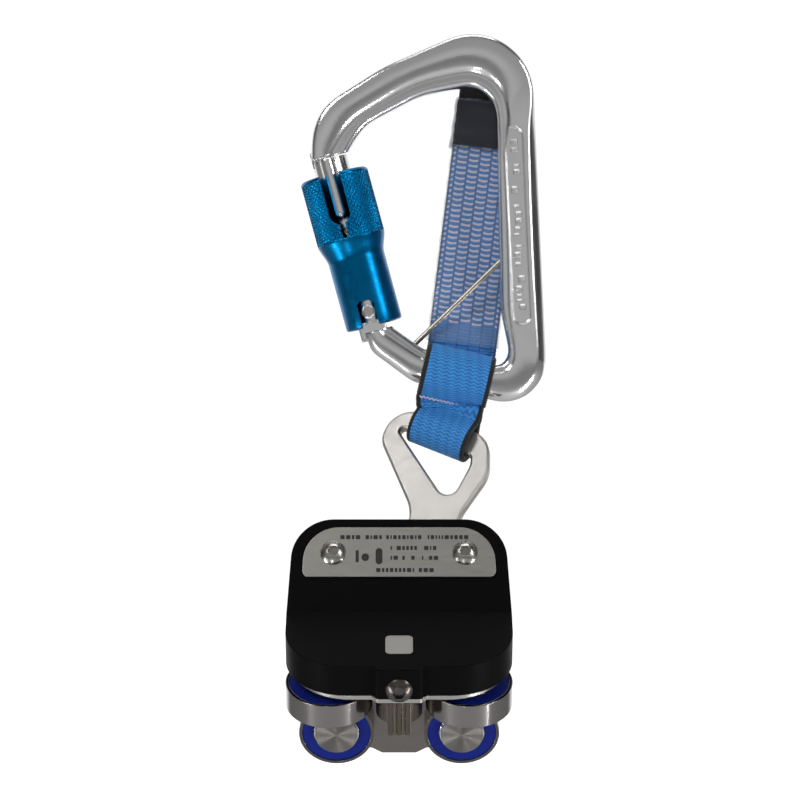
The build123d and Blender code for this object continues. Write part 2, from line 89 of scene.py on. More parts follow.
# ---- materials ------------------------------------------------------------------------------------
class Value:
    """A shader number that can be used in arithmetic."""

    def __init__(self, paint, socket):
        self.paint, self.socket = paint, socket

    def __add__(self, other):
        return self.paint.math("ADD", self, other)

    def __sub__(self, other):
        return self.paint.math("SUBTRACT", self, other)

    def __mul__(self, other):
        return self.paint.math("MULTIPLY", self, other)

    def __truediv__(self, other):
        return self.paint.math("DIVIDE", self, other)

    def fraction(self):
        return self.paint.math("FRACT", self)

    def floor(self):
        return self.paint.math("FLOOR", self)

    def size(self):
        return self.paint.math("ABSOLUTE", self)

    def sine(self):
        return self.paint.math("SINE", self)

    def above(self, limit):
        return self.paint.math("GREATER_THAN", self, limit)

    def least(self, other):
        return self.paint.math("MINIMUM", self, other)


class Paint:
    """A Principled material and short helpers for its nodes."""

    def __init__(self, name, colour, metallic=0.0, roughness=0.5, **more):
        self.material = bpy.data.materials.new(name)
        self.material.use_nodes = True
        self.tree = self.material.node_tree
        self.shader = self.tree.nodes["Principled BSDF"]
        self.set("Base Color", (*colour, 1.0))
        self.set("Metallic", metallic)
        self.set("Roughness", roughness)
        for socket, value in more.items():
            self.set(socket.replace("_", " "), value)

    def set(self, socket, value):
        self.shader.inputs[socket].default_value = value

    def node(self, kind, **settings):
        node = self.tree.nodes.new(kind)
        for key, value in settings.items():
            setattr(node, key, value)
        return node

    def feed(self, socket, value):
        """Put a Value, a socket or a constant into an input."""
        if isinstance(value, Value):
            value = value.socket
        if isinstance(value, bpy.types.NodeSocket):
            self.tree.links.new(value, socket)
        else:
            socket.default_value = value

    def math(self, operation, *values):
        node = self.node("ShaderNodeMath", operation=operation)
        for socket, value in zip(node.inputs, values):
            self.feed(socket, value)
        return Value(self, node.outputs[0])

    def position(self):
        """Place on the piece in the row frame, in metres."""
        return self.node("ShaderNodeTexCoord").outputs["Object"]

    def across_along(self):
        """Webbing coordinates in millimetres: across, along."""
        node = self.node("ShaderNodeSeparateXYZ")
        uv = self.node("ShaderNodeUVMap", uv_map="cloth")
        self.feed(node.inputs[0], uv.outputs[0])
        return Value(self, node.outputs[0]) * UV_SCALE, Value(self, node.outputs[1]) * UV_SCALE

    def component(self, axis, origin=(0, 0, 0)):
        """Distance along an axis from an origin, in millimetres."""
        moved = self.node("ShaderNodeVectorMath", operation="SUBTRACT")
        self.feed(moved.inputs[0], self.position())
        moved.inputs[1].default_value = Vector(origin) * MM
        dot = self.node("ShaderNodeVectorMath", operation="DOT_PRODUCT")
        self.feed(dot.inputs[0], moved.outputs[0])
        dot.inputs[1].default_value = axis
        return Value(self, dot.outputs["Value"]) * 1000.0

    def noise(self, scale, detail=3.0, stretch=None, axis_turn=None):
        """Noise in the row frame, with scale in lumps per metre."""
        vector = self.position()
        if stretch:
            mapping = self.node("ShaderNodeMapping")
            self.feed(mapping.inputs["Vector"], vector)
            mapping.inputs["Scale"].default_value = stretch
            if axis_turn:
                mapping.inputs["Rotation"].default_value = [math.radians(a) for a in axis_turn]
            vector = mapping.outputs[0]
        node = self.node("ShaderNodeTexNoise")
        self.feed(node.inputs["Vector"], vector)
        node.inputs["Scale"].default_value = scale
        node.inputs["Detail"].default_value = detail
        return Value(self, node.outputs[0])

    def vary_roughness(self, value, low, high):
        node = self.node("ShaderNodeMapRange")
        self.feed(node.inputs["Value"], value)
        node.inputs["From Min"].default_value = 0.3
        node.inputs["From Max"].default_value = 0.7
        node.inputs["To Min"].default_value = low
        node.inputs["To Max"].default_value = high
        self.feed(self.shader.inputs["Roughness"], node.outputs[0])

    def blend(self, factor, first, second):
        """Colour between two colours or sockets."""
        node = self.node("ShaderNodeMix", data_type="RGBA")
        self.feed(node.inputs["Factor"], factor)
        for socket, colour in ((node.inputs[6], first), (node.inputs[7], second)):
            if isinstance(colour, tuple):
                socket.default_value = (*colour, 1.0)
            else:
                self.feed(socket, colour)
        return node.outputs[2]

    def colour(self, socket):
        self.feed(self.shader.inputs["Base Color"], socket)

    def relief(self, height=None, depth=0.1, soft_edge=None):
        """Bump in millimetres, over edges rounded by soft_edge millimetres."""
        normal = None
        if soft_edge:
            bevel = self.node("ShaderNodeBevel", samples=6)
            bevel.inputs["Radius"].default_value = soft_edge * MM
            normal = bevel.outputs[0]
        if height is not None:
            bump = self.node("ShaderNodeBump")
            bump.inputs["Strength"].default_value = 1.0
            bump.inputs["Distance"].default_value = depth * MM
            self.feed(bump.inputs["Height"], height)
            if normal:
                self.feed(bump.inputs["Normal"], normal)
            normal = bump.outputs[0]
        self.feed(self.shader.inputs["Normal"], normal)
        return self


def polished_aluminium():
    paint = Paint("polished_aluminium", (0.72, 0.715, 0.72), 1.0)
    cloud = paint.noise(90.0, 4.0)
    paint.vary_roughness(cloud, 0.1, 0.2)
    return paint.relief(paint.noise(700.0, 5.0), 0.012, 1.3)


def blasted_steel():
    paint = Paint("blasted_steel", (0.44, 0.425, 0.405), 1.0)
    paint.vary_roughness(paint.noise(260.0, 4.0), 0.36, 0.5)
    return paint.relief(paint.noise(3800.0, 2.0), 0.05, 0.5)


def brushed_steel(name="brushed_steel", colour=(0.6, 0.585, 0.56), rough=(0.24, 0.36), tilt=0.0):
    paint = Paint(name, colour, 1.0)
    lines = paint.noise(3600.0, 3.0, (0.035, 1.0, 1.0), (tilt, 0, 0))
    paint.vary_roughness(lines, *rough)
    return paint.relief(lines, 0.02, 0.25)


def turned_steel(name, axis, colour=(0.62, 0.61, 0.6), rough=(0.12, 0.26), pitch=9.0, depth=0.01):
    """Steel turned on a lathe, with its tool lines round an axis."""
    paint = Paint(name, colour, 1.0)
    along = paint.component(axis)
    wave = paint.node("ShaderNodeTexNoise", noise_dimensions="1D")
    paint.feed(wave.inputs["W"], along * pitch)
    wave.inputs["Scale"].default_value = 1.0
    wave.inputs["Detail"].default_value = 3.0
    lines = Value(paint, wave.outputs[0])
    paint.vary_roughness(lines, *rough)
    return paint.relief(lines, depth, 0.35)


def shaded_disc_steel():
    """Faced discs: fine circles that give a star of highlights, over a base colour darkened as painted
    shade.
    """
    paint = Paint("shaded_disc_steel", (0.22, 0.21, 0.2), 1.0, 0.5, Anisotropic=0.92)
    x = paint.component((1, 0, 0), (TROLLEY_X, 0, 0))
    side = x.above(0.0) * (2 * DISC_X) - DISC_X
    offset = x - side
    rise = paint.component(SPIN_AXIS, (0, -25.054, -224.852))
    distance = paint.math("SQRT", offset * offset + rise * rise)
    tangent = paint.node("ShaderNodeCombineXYZ")
    paint.feed(tangent.inputs[0], offset)
    paint.feed(tangent.inputs[1], rise * SPIN_AXIS[1])
    paint.feed(tangent.inputs[2], rise * SPIN_AXIS[2])
    world = paint.node("ShaderNodeVectorTransform", vector_type="VECTOR", convert_from="OBJECT",
                       convert_to="WORLD")
    paint.feed(world.inputs[0], tangent.outputs[0])
    unit = paint.node("ShaderNodeVectorMath", operation="NORMALIZE")
    paint.feed(unit.inputs[0], world.outputs[0])
    paint.feed(paint.shader.inputs["Tangent"], unit.outputs[0])
    circles = (distance * 14.0).sine()
    return paint.relief(circles, 0.006, 0.4)


def satin_black():
    paint = Paint("satin_black", (0.0028, 0.0028, 0.003), 0.0, Specular_IOR_Level=0.03)
    paint.vary_roughness(paint.noise(160.0, 3.0), 0.4, 0.5)
    return paint.relief(paint.noise(2600.0, 2.0), 0.02, 0.7)


def blue_seal(name):
    paint = Paint(name, (0.002, 0.01, 0.17), 0.0, 0.4, Specular_IOR_Level=0.15)
    shade = paint.noise(500.0, 3.0)
    paint.colour(paint.blend(shade, (0.0015, 0.009, 0.14), (0.003, 0.014, 0.2)))
    return paint.relief(paint.noise(1800.0, 2.0), 0.03, 0.3)


def anodised_blue():
    paint = Paint("anodised_blue", (0.0, 0.14, 0.4), 1.0)
    tone = paint.noise(70.0, 3.0)
    paint.colour(paint.blend(tone, (0.001, 0.11, 0.27), (0.002, 0.17, 0.38)))
    paint.vary_roughness(paint.noise(420.0, 4.0), 0.26, 0.36)
    return paint.relief(paint.noise(2600.0, 3.0), 0.02, 0.3)


def plain_metal(name, colour, rough):
    paint = Paint(name, colour, 1.0)
    paint.vary_roughness(paint.noise(600.0, 3.0), *rough)
    return paint.relief(paint.noise(1500.0, 3.0), 0.015, 0.15)


def woven(name, light, dark, selvedge, half_width):
    """Webbing with chevron rows, dark pinholes between them and plain dyed selvedges."""
    paint = Paint(name, light, 0.0, 0.6, Specular_IOR_Level=0.3, Sheen_Weight=0.25,
                  Sheen_Roughness=0.4)
    across, along = paint.across_along()
    zigzag = ((across / (2 * RIB)).fraction() - 0.5).size() * 2.0
    phase = (along / ROW + zigzag * ZIGZAG).fraction()
    ridge = (phase - 0.5).size() * 2.0
    thread = (across / (RIB * 0.5) + along * 0.35).sine() * 0.5 + 0.5
    speck = paint.noise(900.0, 2.0)
    shade = (ridge * 0.75 + thread * 0.15 + speck * 0.25).least(1.0)
    cloth = paint.blend(shade, dark, light)
    edge = across.size().above(half_width - 1.55)
    paint.colour(paint.blend(edge, cloth, selvedge))
    height = ridge * 0.8 + thread * 0.3 + paint.noise(3000.0, 2.0) * 0.3
    return paint.relief(height, 0.14)


def tear_webbing():
    """Dyed webbing with staggered columns of pale binder threads."""
    paint = Paint("tear_webbing", (0.02, 0.15, 0.45), 0.0, 0.55, Specular_IOR_Level=0.3, Sheen_Weight=0.2)
    across, along = paint.across_along()
    column = across / COLUMN + 0.5
    inside = column.fraction()
    parity = (column.floor() / 2.0).fraction() * 2.0
    arch = (inside - 0.5) * (inside - 0.5) * -ARCH
    wander = (paint.noise(300.0, 2.0) - 0.5) * 0.35
    phase = (along / DASH + parity * 0.5 + arch + wander).fraction()
    gap = (inside - 0.5).size()
    dash = (phase - 0.5).size()
    pale = (dash * -1.0 + 0.2).above(0.0) * (gap * -1.0 + 0.41).above(0.0)
    zone = (along - 7.5).above(0.0) * (along * -1.0 + CLEAR_TOP).above(0.0)
    fine = (along * 5.6).sine() * 0.5 + 0.5
    yarn = fine * 0.6 + paint.noise(1400.0, 2.0) * 0.4
    ground = paint.blend(yarn, (0.016, 0.1, 0.31), (0.045, 0.23, 0.58))
    gap_shade = (gap - 0.43).above(0.0)
    ground = paint.blend(gap_shade * 0.55, ground, (0.008, 0.05, 0.2))
    front = paint.blend(pale * zone * 0.92, ground, (0.7, 0.63, 0.72))
    rim = (across.size() - 11.5).above(0.0)
    front = paint.blend(rim * 0.8, front, (0.006, 0.02, 0.06))
    ends = (along - 88.0).above(0.0)
    paint.colour(paint.blend(ends, front, (0.006, 0.006, 0.007)))
    height = fine * 0.3 + pale * 0.7
    return paint.relief(height, 0.16)


def clear_film():
    paint = Paint("clear_film", (0.34, 0.44, 0.6), 0.0, 0.12, Alpha=0.13, Specular_IOR_Level=0.6,
                  Coat_Weight=0.4, Coat_Roughness=0.08)
    return paint.relief(paint.noise(55.0, 2.0), 0.3)


def smoky_film():
    paint = Paint("smoky_film", (0.03, 0.034, 0.045), 0.0, 0.16, Alpha=0.26, Specular_IOR_Level=0.6,
                  Coat_Weight=0.4, Coat_Roughness=0.08)
    return paint.relief(paint.noise(60.0, 2.0), 0.3)


def dark_tape():
    paint = Paint("dark_tape", (0.008, 0.01, 0.02), 0.0, 0.4, Specular_IOR_Level=0.35)
    mottle = paint.noise(240.0, 4.0)
    paint.colour(paint.blend(mottle, (0.004, 0.005, 0.01), (0.014, 0.018, 0.036)))
    return paint.relief(mottle, 0.15)


def thread_paint():
    paint = Paint("pale_thread", (0.5, 0.45, 0.56), 0.0, 0.7, Sheen_Weight=0.3)
    tone = paint.noise(700.0, 2.0)
    paint.colour(paint.blend(tone, (0.28, 0.3, 0.5), (0.66, 0.58, 0.68)))
    return paint.relief(paint.noise(4000.0, 2.0), 0.06)


def etched_black():
    paint = Paint("etched_black", (0.012, 0.012, 0.012), 0.0, 0.5, Specular_IOR_Level=0.3)
    paint.colour(paint.blend(paint.noise(900.0, 3.0), (0.008, 0.008, 0.008), (0.03, 0.029, 0.028)))
    return paint.relief(paint.noise(2500.0, 2.0), 0.01)


def paint_nodes():
    """Give every carried-over CAD node its material."""
    steel = brushed_steel()
    spring = plain_metal("spring_steel", (0.55, 0.55, 0.55), (0.2, 0.32))
    brass = plain_metal("old_brass", (0.62, 0.47, 0.24), (0.25, 0.4))
    ball = plain_metal("ball_steel", (0.72, 0.72, 0.73), (0.04, 0.08))
    aluminium = polished_aluminium()
    # Painted shade: the bearing rings' steel gets a dark base colour in place of the dark surroundings it
    # reflects, and the back rings get a still darker copy of it.
    side = turned_steel("side_ring_steel_painted_shade", SPIN_AXIS, (0.24, 0.228, 0.224), (0.08, 0.16), 7.0, 0.006)
    back = turned_steel("back_ring_steel_painted_shade", BACK_AXIS, (0.12, 0.112, 0.11), (0.12, 0.24), 7.0, 0.006)
    wire = turned_steel("wire_steel", (0.69, 0, 0.72), (0.3, 0.28, 0.24), (0.2, 0.34), 4.0, 0.02)
    wanted = {
        "carabiner_frame": aluminium, "gate_body": aluminium, "gate_hinge_rivet": steel,
        "captive_bar": wire, "sleeve_guide_pin": brass, "gate_spring": spring, "gate_plunger": steel,
        "sleeve_spring": spring, "brake_lever": blasted_steel(),
        # Painted shade: the cam's steel gets a very dark base colour in place of the dark surroundings it
        # reflects.
        "brake_cam": plain_metal("cam_steel_painted_shade", (0.12, 0.104, 0.088), (0.16, 0.28)),
        "pivot_bush": brass,
        "chassis_plate": brushed_steel("plate_steel", (0.42, 0.41, 0.39), (0.22, 0.34), 60),
        # Painted shade: the guide plate's steel gets a dark base colour in place of the dark surroundings
        # it reflects.
        "guide_plate": brushed_steel("guide_steel_painted_shade", (0.17, 0.158, 0.148), (0.3, 0.42), 30),
        "front_cover": satin_black(),
        "label_plate": brushed_steel("label_steel", (0.36, 0.35, 0.325), (0.34, 0.44), 68),
        "label_screws": plain_metal("screw_steel", (0.38, 0.365, 0.34), (0.22, 0.32)),
        "cover_front_screw": plain_metal("dark_screw_steel", (0.1, 0.092, 0.086), (0.2, 0.3)),
        "pivot_pin": brushed_steel("pin_steel", (0.36, 0.345, 0.32), (0.42, 0.55), 30),
        "pivot_clip": spring, "lever_return_spring": spring,
        "side_inner_rings": ball, "back_inner_rings": ball,
        "side_roller_axles": turned_steel("axle_steel", SPIN_AXIS), "back_roller_axles": shaded_disc_steel(),
    }
    seals = {"side": blue_seal("side_seal_blue"), "back": blue_seal("back_seal_blue")}
    rings = {"side": side, "back": back}
    for kind in ("side", "back"):
        for hand in ("left", "right"):
            start = f"{kind}_roller_{hand}_"
            wanted[start + "ring"] = rings[kind]
            wanted[start + "seals"] = seals[kind]
            wanted[start + "balls"] = ball
            wanted[start + "cage"] = brass
    for name, paint in wanted.items():
        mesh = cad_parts[name].data
        mesh.materials.clear()
        mesh.materials.append(paint.material)


# ---- mesh helpers ---------------------------------------------------------------------------------
def piece(name, points, faces, paint, body, replaced=(), uv=None, smooth=True):
    """New object from millimetre points in the row frame, riding on a body."""
    mesh = bpy.data.meshes.new(name)
    mesh.from_pydata([Vector(p) * MM for p in points], [], faces)
    mesh.polygons.foreach_set("use_smooth", [smooth] * len(mesh.polygons))
    if uv:
        layer = mesh.uv_layers.new(name="cloth")
        for loop in mesh.loops:
            across, along = uv[loop.vertex_index]
            layer.data[loop.index].uv = (across / UV_SCALE, along / UV_SCALE)
    mesh.materials.append(paint.material)
    mesh.update()
    obj = bpy.data.objects.new(name, mesh)
    bpy.context.scene.collection.objects.link(obj)
    fix_normals(obj)
    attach(obj, body)
    if replaced:
        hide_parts(*replaced)
    return obj


def fix_normals(obj):
    shape = bmesh.new()
    shape.from_mesh(obj.data)
    bmesh.ops.recalc_face_normals(shape, faces=shape.faces)
    shape.to_mesh(obj.data)
    shape.free()


def tube_faces(rows, columns, close_rows, close_columns=True):
    """Quads of a grid of rows by columns, closed round in either direction."""
    faces = []
    for i in range(rows if close_rows else rows - 1):
        for j in range(columns if close_columns else columns - 1):
            a, b = i * columns + j, i * columns + (j + 1) % columns
            c, d = ((i + 1) % rows) * columns + (j + 1) % columns, ((i + 1) % rows) * columns + j
            faces.append((a, b, c, d))
    return faces


def smoothstep(x, low, high):
    t = min(1.0, max(0.0, (x - low) / (high - low)))
    return t * t * (3 - 2 * t)


def triangle(x):
    return abs(2 * (x - math.floor(x)) - 1)


def cut_away(obj, cutters):
    """Subtract closed meshes from a piece, and apply it."""
    for cutter in cutters:
        tool = obj.modifiers.new("cut", "BOOLEAN")
        tool.operation = "DIFFERENCE"
        tool.solver = "EXACT"
        tool.object = cutter
    bpy.context.view_layer.update()
    mesh = bpy.data.meshes.new_from_object(obj.evaluated_get(bpy.context.evaluated_depsgraph_get()))
    obj.modifiers.clear()
    obj.data = mesh
    for cutter in cutters:
        bpy.data.objects.remove(cutter)


def prism(outline, place, y0, y1):
    """Closed prism from an (x, z) outline, from y0 to y1, in a millimetre frame."""
    count = len(outline)
    points = [place @ Vector((x, y, z)) for y in (y0, y1) for x, z in outline]
    faces = [tuple(range(count)), tuple(range(2 * count - 1, count - 1, -1))]
    faces += [(i, i + count, (i + 1) % count + count, (i + 1) % count) for i in range(count)]
    mesh = bpy.data.meshes.new("cutter")
    mesh.from_pydata([p * MM for p in points], [], faces)
    obj = bpy.data.objects.new("cutter", mesh)
    bpy.context.scene.collection.objects.link(obj)
    fix_normals(obj)
    return obj


# ---- carabiner frame ------------------------------------------------------------------------------
BAR_SLOPE = math.radians(13.0)      # the lower bar falls to the right
BAR_DEEP = 12.1
PANEL_MIDDLE = shift(19.7, 0, -49.0)
PANEL_TILT, PANEL_HALF, PANEL_RADIUS = 2.6, 31.8, 3.2


def lower_edge(x):
    return -111.0 - math.tan(BAR_SLOPE) * (x - 10.4)


def upper_edge(x):
    return lower_edge(x) + BAR_DEEP / math.cos(BAR_SLOPE)


def gate_spot(along, across):
    point = GATE @ Vector((across, 0, along))
    return point.x, point.z


def rounded_chain(corners, anchors, steps=14):
    """Polyline through corners rounded by tangent arcs, and the places of its anchor corners."""
    line, marks = [Vector(corners[0][:2])], [0]
    for k in range(1, len(corners) - 1):
        x, y, radius = corners[k]
        here = Vector((x, y))
        before = (Vector(corners[k - 1][:2]) - here).normalized()
        after = (Vector(corners[k + 1][:2]) - here).normalized()
        half = before.angle(after) / 2
        bisector = (before + after).normalized()
        middle = here + bisector * (radius / math.sin(half))
        first = here + before * (radius / math.tan(half))
        last = here + after * (radius / math.tan(half))
        if k in anchors:
            marks.append(len(line) + steps // 2)
        for i in range(steps + 1):
            spoke = (first - middle).lerp(last - middle, i / steps)
            line.append(middle + spoke.normalized() * radius)
    line.append(Vector(corners[-1][:2]))
    marks.append(len(line) - 1)
    return line, marks


def even_points(line, count):
    """Points at even steps along a polyline, without its last point."""
    total = [0.0]
    for a, b in zip(line, line[1:]):
        total.append(total[-1] + (b - a).length)
    points, k = [], 0
    for n in range(count):
        s = total[-1] * n / count
        while total[k + 1] < s:
            k += 1
        t = (s - total[k]) / max(1e-9, total[k + 1] - total[k])
        points.append(line[k].lerp(line[k + 1], t))
    return points


def forged_section(width, spine):
    """(distance from the inside, height) of half a section: an inner lip, a groove and an outer flat."""
    arch = [(0, 0), (0, 2.2), (0.3, 3.3), (0.9, 4.15), (1.9, 4.65), (3.0, 4.6), (4.0, 4.2), (5.0, 4.1),
            (6.0, 4.5), (6.8, 5.2), (7.3, 5.5), (width - 1.7, 5.5), (width - 0.9, 5.25),
            (width - 0.25, 4.5), (width, 3.4), (width, 0)]
    bar = [(0, 0), (0, 2.6), (0.25, 3.7), (0.75, 4.5), (1.3, 4.95), (1.8, 5.0), (2.3, 4.75), (2.6, 4.75),
           (2.9, 5.1), (3.2, 5.5), (3.6, 5.5), (width - 3.6, 5.5), (width - 3.2, 5.35),
           (width - 0.7, 3.1), (width, 2.2), (width, 0)]
    return [(a[0] + (b[0] - a[0]) * spine, a[1] + (b[1] - a[1]) * spine) for a, b in zip(arch, bar)]


def carabiner_frame():
    """Closed die forging, swept between its outer and inner outlines."""
    outer = [(-53.8, -40.0, 0), (-53.5, -8.6, 20.0), (-28.0, 7.6, 60.0), (24.2, 30.3, 22.0),
             (30.8, lower_edge(30.8), 15.0), (-17.5, lower_edge(-17.5), 8.0), (-32.6, -93.4, 4.0),
             (*gate_spot(39.6, -5.0), 0)]
    inner = [(-42.8, -40.0, 0), (-42.8, -26.6, 3.0), (-35.2, -13.4, 18.0), (-15.0, -2.7, 30.0),
             (12.1, 2.7, 10.8), (13.7, -78.0, 30.0), (18.0, upper_edge(18.0), 5.0),
             (-13.6, upper_edge(-13.6), 9.0), (*gate_spot(56.6, 5.0), 2.0), (*gate_spot(39.6, 5.0), 0)]
    outer_line, outer_marks = rounded_chain(outer, (1, 2, 3, 4, 5, 6))
    inner_line, inner_marks = rounded_chain(inner, (2, 3, 4, 6, 7, 8))
    amounts = (14, 22, 44, 70, 40, 18, 16)
    spine_share = (0.0, 0.0, 0.0, 0.0, 1.0, 0.8, 0.6, 0.6)
    sections = []
    for k, amount in enumerate(amounts):
        outs = even_points(outer_line[outer_marks[k]:outer_marks[k + 1] + 1], amount)
        ins = even_points(inner_line[inner_marks[k]:inner_marks[k + 1] + 1], amount)
        for n, (far, near) in enumerate(zip(outs, ins)):
            t = n / amount
            if k == 3:
                share = smoothstep(t, 0.16, 0.26)
            else:
                share = spine_share[k] + (spine_share[k + 1] - spine_share[k]) * t
            sections.append((far, near, share))
    for _ in range(3):
        sections = [sections[0]] + [
            tuple((a * 0.25 + b * 0.5 + c * 0.25) for a, b, c in zip(p, q, r))
            for p, q, r in zip(sections, sections[1:], sections[2:])] + [sections[-1]]
    points = []
    for far, near, share in sections:
        width = (far - near).length
        cross = (far - near) / width
        half = forged_section(width, share)
        ring = [(d, -h) for d, h in half] + [(d, h) for d, h in reversed(half[1:-1])]
        points += [(near.x + cross.x * d, h, near.y + cross.y * d) for d, h in ring]
    count = 2 * len(half) - 2
    rows = len(sections)
    faces = tube_faces(rows, count, False)
    faces += [tuple(range(count)), tuple(range((rows - 1) * count, rows * count))]
    body = piece("forged_frame", points, faces, polished_aluminium(), "carabiner",
                 ("carabiner_frame",))
    room = prism([(-14, -6.35), (13, -6.35), (13, 57.6), (-14, 57.6)], GATE, -20, 20)
    slot = []
    for degrees in range(0, 361, 12):
        a = math.radians(degrees)
        end = PANEL_HALF if degrees <= 180 else -PANEL_HALF
        slot.append((PANEL_RADIUS * math.cos(a), end + PANEL_RADIUS * math.sin(a)))
    panel = prism(slot, PANEL_MIDDLE @ turn(-PANEL_TILT, "Y"), -8.0, -5.0)
    cut_away(body, [room, panel])
    sharpen(body, 40)
    tongue = [(5.0 * math.cos(math.radians(a)) - 0.9, 50.5 - 5.0 * math.sin(math.radians(a)))
              for a in range(0, 181, 12)] + [(-5.9, 60.5), (4.1, 60.5)]
    lug = [(-6.3, -9.35), (1.5, -9.35), (1.5, -3.7), (-6.3, -3.7)]
    ends = [prism(tongue, GATE, -2.75, 2.75), prism(lug, GATE, -2.25, 2.25)]
    ends[0].name, ends[1].name = "hinge_tongue", "nose_lug"
    for end in ends:
        end.data.materials.append(body.data.materials[0])
        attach(end, "carabiner")
    return body


# ---- locking sleeve -------------------------------------------------------------------------------
SLEEVE_RADIUS, SHANK_RADIUS, SLEEVE_LENGTH = 12.3, 10.2, 55.6
KNURL_START, KNURL_END = 1.2, 23.8


def sleeve_profile():
    """(radius, along) points of the sleeve's closed section."""
    outer = [(9.5, 0.6), (9.9, 0.1), (10.6, 0.0), (11.4, 0.0), (12.0, 0.4), (SLEEVE_RADIUS, 1.0)]
    count = 118
    outer += [(SLEEVE_RADIUS, KNURL_START + (KNURL_END - KNURL_START) * i / count)
              for i in range(count + 1)]
    for i in range(1, 17):
        t = i / 16
        outer.append((SLEEVE_RADIUS - 2.1 * smoothstep(t, -0.12, 1.0), KNURL_END + 0.1 + 7.2 * t))
    outer += [(SHANK_RADIUS, 31.4 + 23.2 * i / 6) for i in range(7)]
    outer += [(10.05, 55.2), (9.7, 55.5), (9.3, SLEEVE_LENGTH)]
    inner = [(8.4, SLEEVE_LENGTH), (8.4, 42.5), (6.85, 41.5), (6.85, 24.3), (8.8, 24.3), (8.8, 19.3),
             (9.5, 19.3)]
    return outer + inner


def locking_sleeve():
    """Turned sleeve with a real knurl, and its windows cut through the wall."""
    starts, divisions, lead, depth = 44, 440, 1.9, 0.5
    points = []
    profile = sleeve_profile()
    for radius, along in profile:
        knurled = radius == SLEEVE_RADIUS and KNURL_START <= along <= KNURL_END
        fade = smoothstep(along, KNURL_START, KNURL_START + 0.7)
        fade *= 1 - smoothstep(along, KNURL_END - 0.7, KNURL_END)
        for j in range(divisions):
            turned = j / divisions
            r = radius
            if knurled:
                one = triangle(turned * starts + along / lead)
                two = triangle(turned * starts - along / lead)
                r -= depth * fade * max(0.0, 1 - min(one, two) * 1.6)
            angle = turned * 2 * math.pi
            points.append(GATE @ Vector((r * math.cos(angle), r * math.sin(angle), along)))
    sleeve = piece("locking_sleeve_shell", points, tube_faces(len(profile), divisions, True),
                   anodised_blue(), "sleeve", ("locking_sleeve",))
    place = GATE @ turn(8, "Z")
    arc = [(3.8 * math.cos(math.radians(a)), 14.5 + 3.8 * math.sin(math.radians(a)))
           for a in range(0, 71, 7)]
    window = [(3.8, -1.0)] + arc + [(1.15, 18.3), (1.15, 22.6), (0.8, 23.2), (0.0, 23.5), (-0.8, 23.2),
                                    (-1.15, 22.6), (-1.15, 18.3)]
    window += [(-x, z) for x, z in reversed(arc)] + [(-3.8, -1.0)]
    notch = [(-3.1, 57.0), (-3.1, 47.4), (-2.1, 46.4), (2.1, 46.4), (3.1, 47.4), (3.1, 57.0)]
    cut_away(sleeve, [prism(window, place, 0.5, 20.0), prism(notch, place, 0.5, 20.0)])
    for polygon in sleeve.data.polygons:
        polygon.use_smooth = True
    sharpen(sleeve, 32)
    return sleeve


def sharpen(obj, degrees):
    """Keep edges sharper than an angle crisp in the shading."""
    shape = bmesh.new()
    shape.from_mesh(obj.data)
    for edge in shape.edges:
        if len(edge.link_faces) == 2 and edge.calc_face_angle(0) > math.radians(degrees):
            edge.smooth = False
    shape.to_mesh(obj.data)
    shape.free()


# ---- connector strap ------------------------------------------------------------------------------
STRAP_THICK = 2.0
STRAP_CELLS = 92                    # points across each face of the band
PICK = 2.3                          # length of one scallop of its selvedge
UPPER_WAIST, LOWER_WAIST = 10.3, 8.9
UPPER_RADIUS, LOWER_RADIUS = 8.15, 6.05
UPPER_HALF, LOWER_HALF = 12.4, 11.2


def hermite(p0, m0, p1, m1, t):
    return (p0 * (2 * t ** 3 - 3 * t ** 2 + 1) + m0 * (t ** 3 - 2 * t ** 2 + t)
            + p1 * (-2 * t ** 3 + 3 * t ** 2) + m1 * (t ** 3 - t ** 2))


def loop_side(radius, waist, front, upward):
    """(y, z) points from the waist to the far end of a loop, on the front or the back."""
    side = -1 if front else 1
    sign = 1 if upward else -1
    open_angle = math.radians(118)
    start = Vector((side * 1.06, -sign * waist))
    join = Vector((side * radius * math.sin(open_angle), sign * radius * math.cos(open_angle)))
    out = Vector((-side * math.cos(open_angle), sign * math.sin(open_angle)))
    points = [hermite(start, Vector((0, sign * 6.0)), join, out * 6.5, i / 10) for i in range(10)]
    for i in range(25):
        a = open_angle * (1 - i / 24)
        points.append(Vector((side * radius * math.sin(a), sign * radius * math.cos(a))))
    return points


def strap_path():
    """Closed path of the strap's middle layer: points, cross axes and half widths."""
    upper_front = loop_side(UPPER_RADIUS, UPPER_WAIST, True, True)
    upper_back = list(reversed(loop_side(UPPER_RADIUS, UPPER_WAIST, False, True)))[1:]
    lower_back = loop_side(LOWER_RADIUS, LOWER_WAIST, False, False)
    lower_front = list(reversed(loop_side(LOWER_RADIUS, LOWER_WAIST, True, False)))[1:]
    stations = []
    for place, half, run in ((LOOP, UPPER_HALF, upper_front + upper_back),
                             (EYE, LOWER_HALF, lower_back + lower_front)):
        cross = place.to_3x3() @ Vector((1, 0, 0))
        stations += [(place @ Vector((0, p.x, p.y)), cross, half) for p in run]
    return stations


